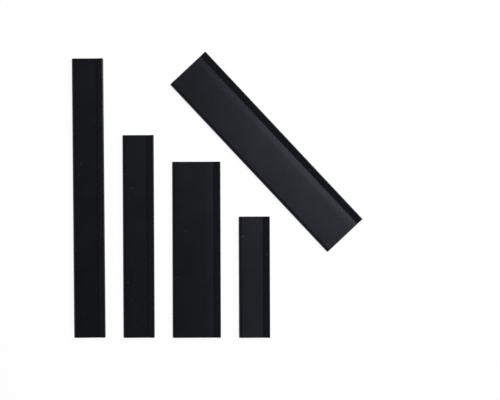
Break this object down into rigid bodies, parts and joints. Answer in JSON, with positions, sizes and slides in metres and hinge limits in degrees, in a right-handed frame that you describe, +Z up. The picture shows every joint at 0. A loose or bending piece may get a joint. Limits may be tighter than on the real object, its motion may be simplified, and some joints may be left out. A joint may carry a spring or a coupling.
{
  "type": "knife blade guard set",
  "caption": "Flat folded plastic guards that clip over knife blades, with a flared entry lip, open ends and felt lining, in several lengths and widths.",
  "frame": {"origin": "on the table plane, at the middle of the box around the whole set", "axes": "+Z up from the table; +Y along the upright guards, towards their far ends; +X across them, from fold to mouth"},
  "size_m": [0.2736, 0.2692, 0.007],
  "materials": {
    "black_plastic": "satin black with a slight blue cast",
    "black_felt": "short dark felt",
    "adhesive_film": "thin pale adhesive"
  },
  "bodies": {
    "chef_back": {"chef_back_wall": "black_plastic", "chef_fold": "black_plastic", "chef_back_adhesive": "adhesive_film", "chef_back_felt": "black_felt"},
    "chef_front": {"chef_front_wall": "black_plastic", "chef_front_adhesive": "adhesive_film", "chef_front_felt": "black_felt"},
    "slicer_back": {"slicer_back_wall": "black_plastic", "slicer_fold": "black_plastic", "slicer_back_adhesive": "adhesive_film", "slicer_back_felt": "black_felt"},
    "slicer_front": {"slicer_front_wall": "black_plastic", "slicer_front_adhesive": "adhesive_film", "slicer_front_felt": "black_felt"},
    "utility_back": {"utility_back_wall": "black_plastic", "utility_fold": "black_plastic", "utility_back_adhesive": "adhesive_film", "utility_back_felt": "black_felt"},
    "utility_front": {"utility_front_wall": "black_plastic", "utility_front_adhesive": "adhesive_film", "utility_front_felt": "black_felt"},
    "santoku_back": {"santoku_back_wall": "black_plastic", "santoku_fold": "black_plastic", "santoku_back_adhesive": "adhesive_film", "santoku_back_felt": "black_felt"},
    "santoku_front": {"santoku_front_wall": "black_plastic", "santoku_front_adhesive": "adhesive_film", "santoku_front_felt": "black_felt"},
    "paring_back": {"paring_back_wall": "black_plastic", "paring_fold": "black_plastic", "paring_back_adhesive": "adhesive_film", "paring_back_felt": "black_felt"},
    "paring_front": {"paring_front_wall": "black_plastic", "paring_front_adhesive": "adhesive_film", "paring_front_felt": "black_felt"}
  },
  "joints": [
    {"name": "chef_opening", "type": "hinge", "parent": "chef_back", "child": "chef_front", "pos_m": [0.03185, 0.02673, 0.003], "axis": [0.6845, -0.729, 0], "range_deg": [0, 12], "stiffness_Nm_per_rad": 0.864, "springref_deg": -5.73, "deforming": ["chef_fold"]},
    {"name": "slicer_opening", "type": "hinge", "parent": "slicer_back", "child": "slicer_front", "pos_m": [-0.13262, -0.00328, 0.003], "axis": [0.0087, -1, 0], "range_deg": [0, 12], "stiffness_Nm_per_rad": 1.05, "springref_deg": -5.73, "deforming": ["slicer_fold"]},
    {"name": "slicer_lift", "type": "slide", "parent": "chef_back", "child": "slicer_back", "axis": [0, 0, 1], "range_m": [0, 0.08]},
    {"name": "utility_opening", "type": "hinge", "parent": "utility_back", "child": "utility_front", "pos_m": [-0.08567, -0.03929, 0.003], "axis": [0.0052, -1, 0], "range_deg": [0, 12], "stiffness_Nm_per_rad": 0.762, "springref_deg": -5.73, "deforming": ["utility_fold"]},
    {"name": "utility_lift", "type": "slide", "parent": "chef_back", "child": "utility_back", "axis": [0, 0, 1], "range_m": [0, 0.08]},
    {"name": "santoku_opening", "type": "hinge", "parent": "santoku_back", "child": "santoku_front", "pos_m": [-0.03916, -0.05179, 0.003], "axis": [0.0035, -1, 0], "range_deg": [0, 12], "stiffness_Nm_per_rad": 0.662, "springref_deg": -5.73, "deforming": ["santoku_fold"]},
    {"name": "santoku_lift", "type": "slide", "parent": "chef_back", "child": "santoku_back", "axis": [0, 0, 1], "range_m": [0, 0.08]},
    {"name": "paring_opening", "type": "hinge", "parent": "paring_back", "child": "paring_front", "pos_m": [0.02333, -0.07754, 0.003], "axis": [0.0035, -1, 0], "range_deg": [0, 12], "stiffness_Nm_per_rad": 0.456, "springref_deg": -5.73, "deforming": ["paring_fold"]},
    {"name": "paring_lift", "type": "slide", "parent": "chef_back", "child": "paring_back", "axis": [0, 0, 1], "range_m": [0, 0.08]}
  ]
}
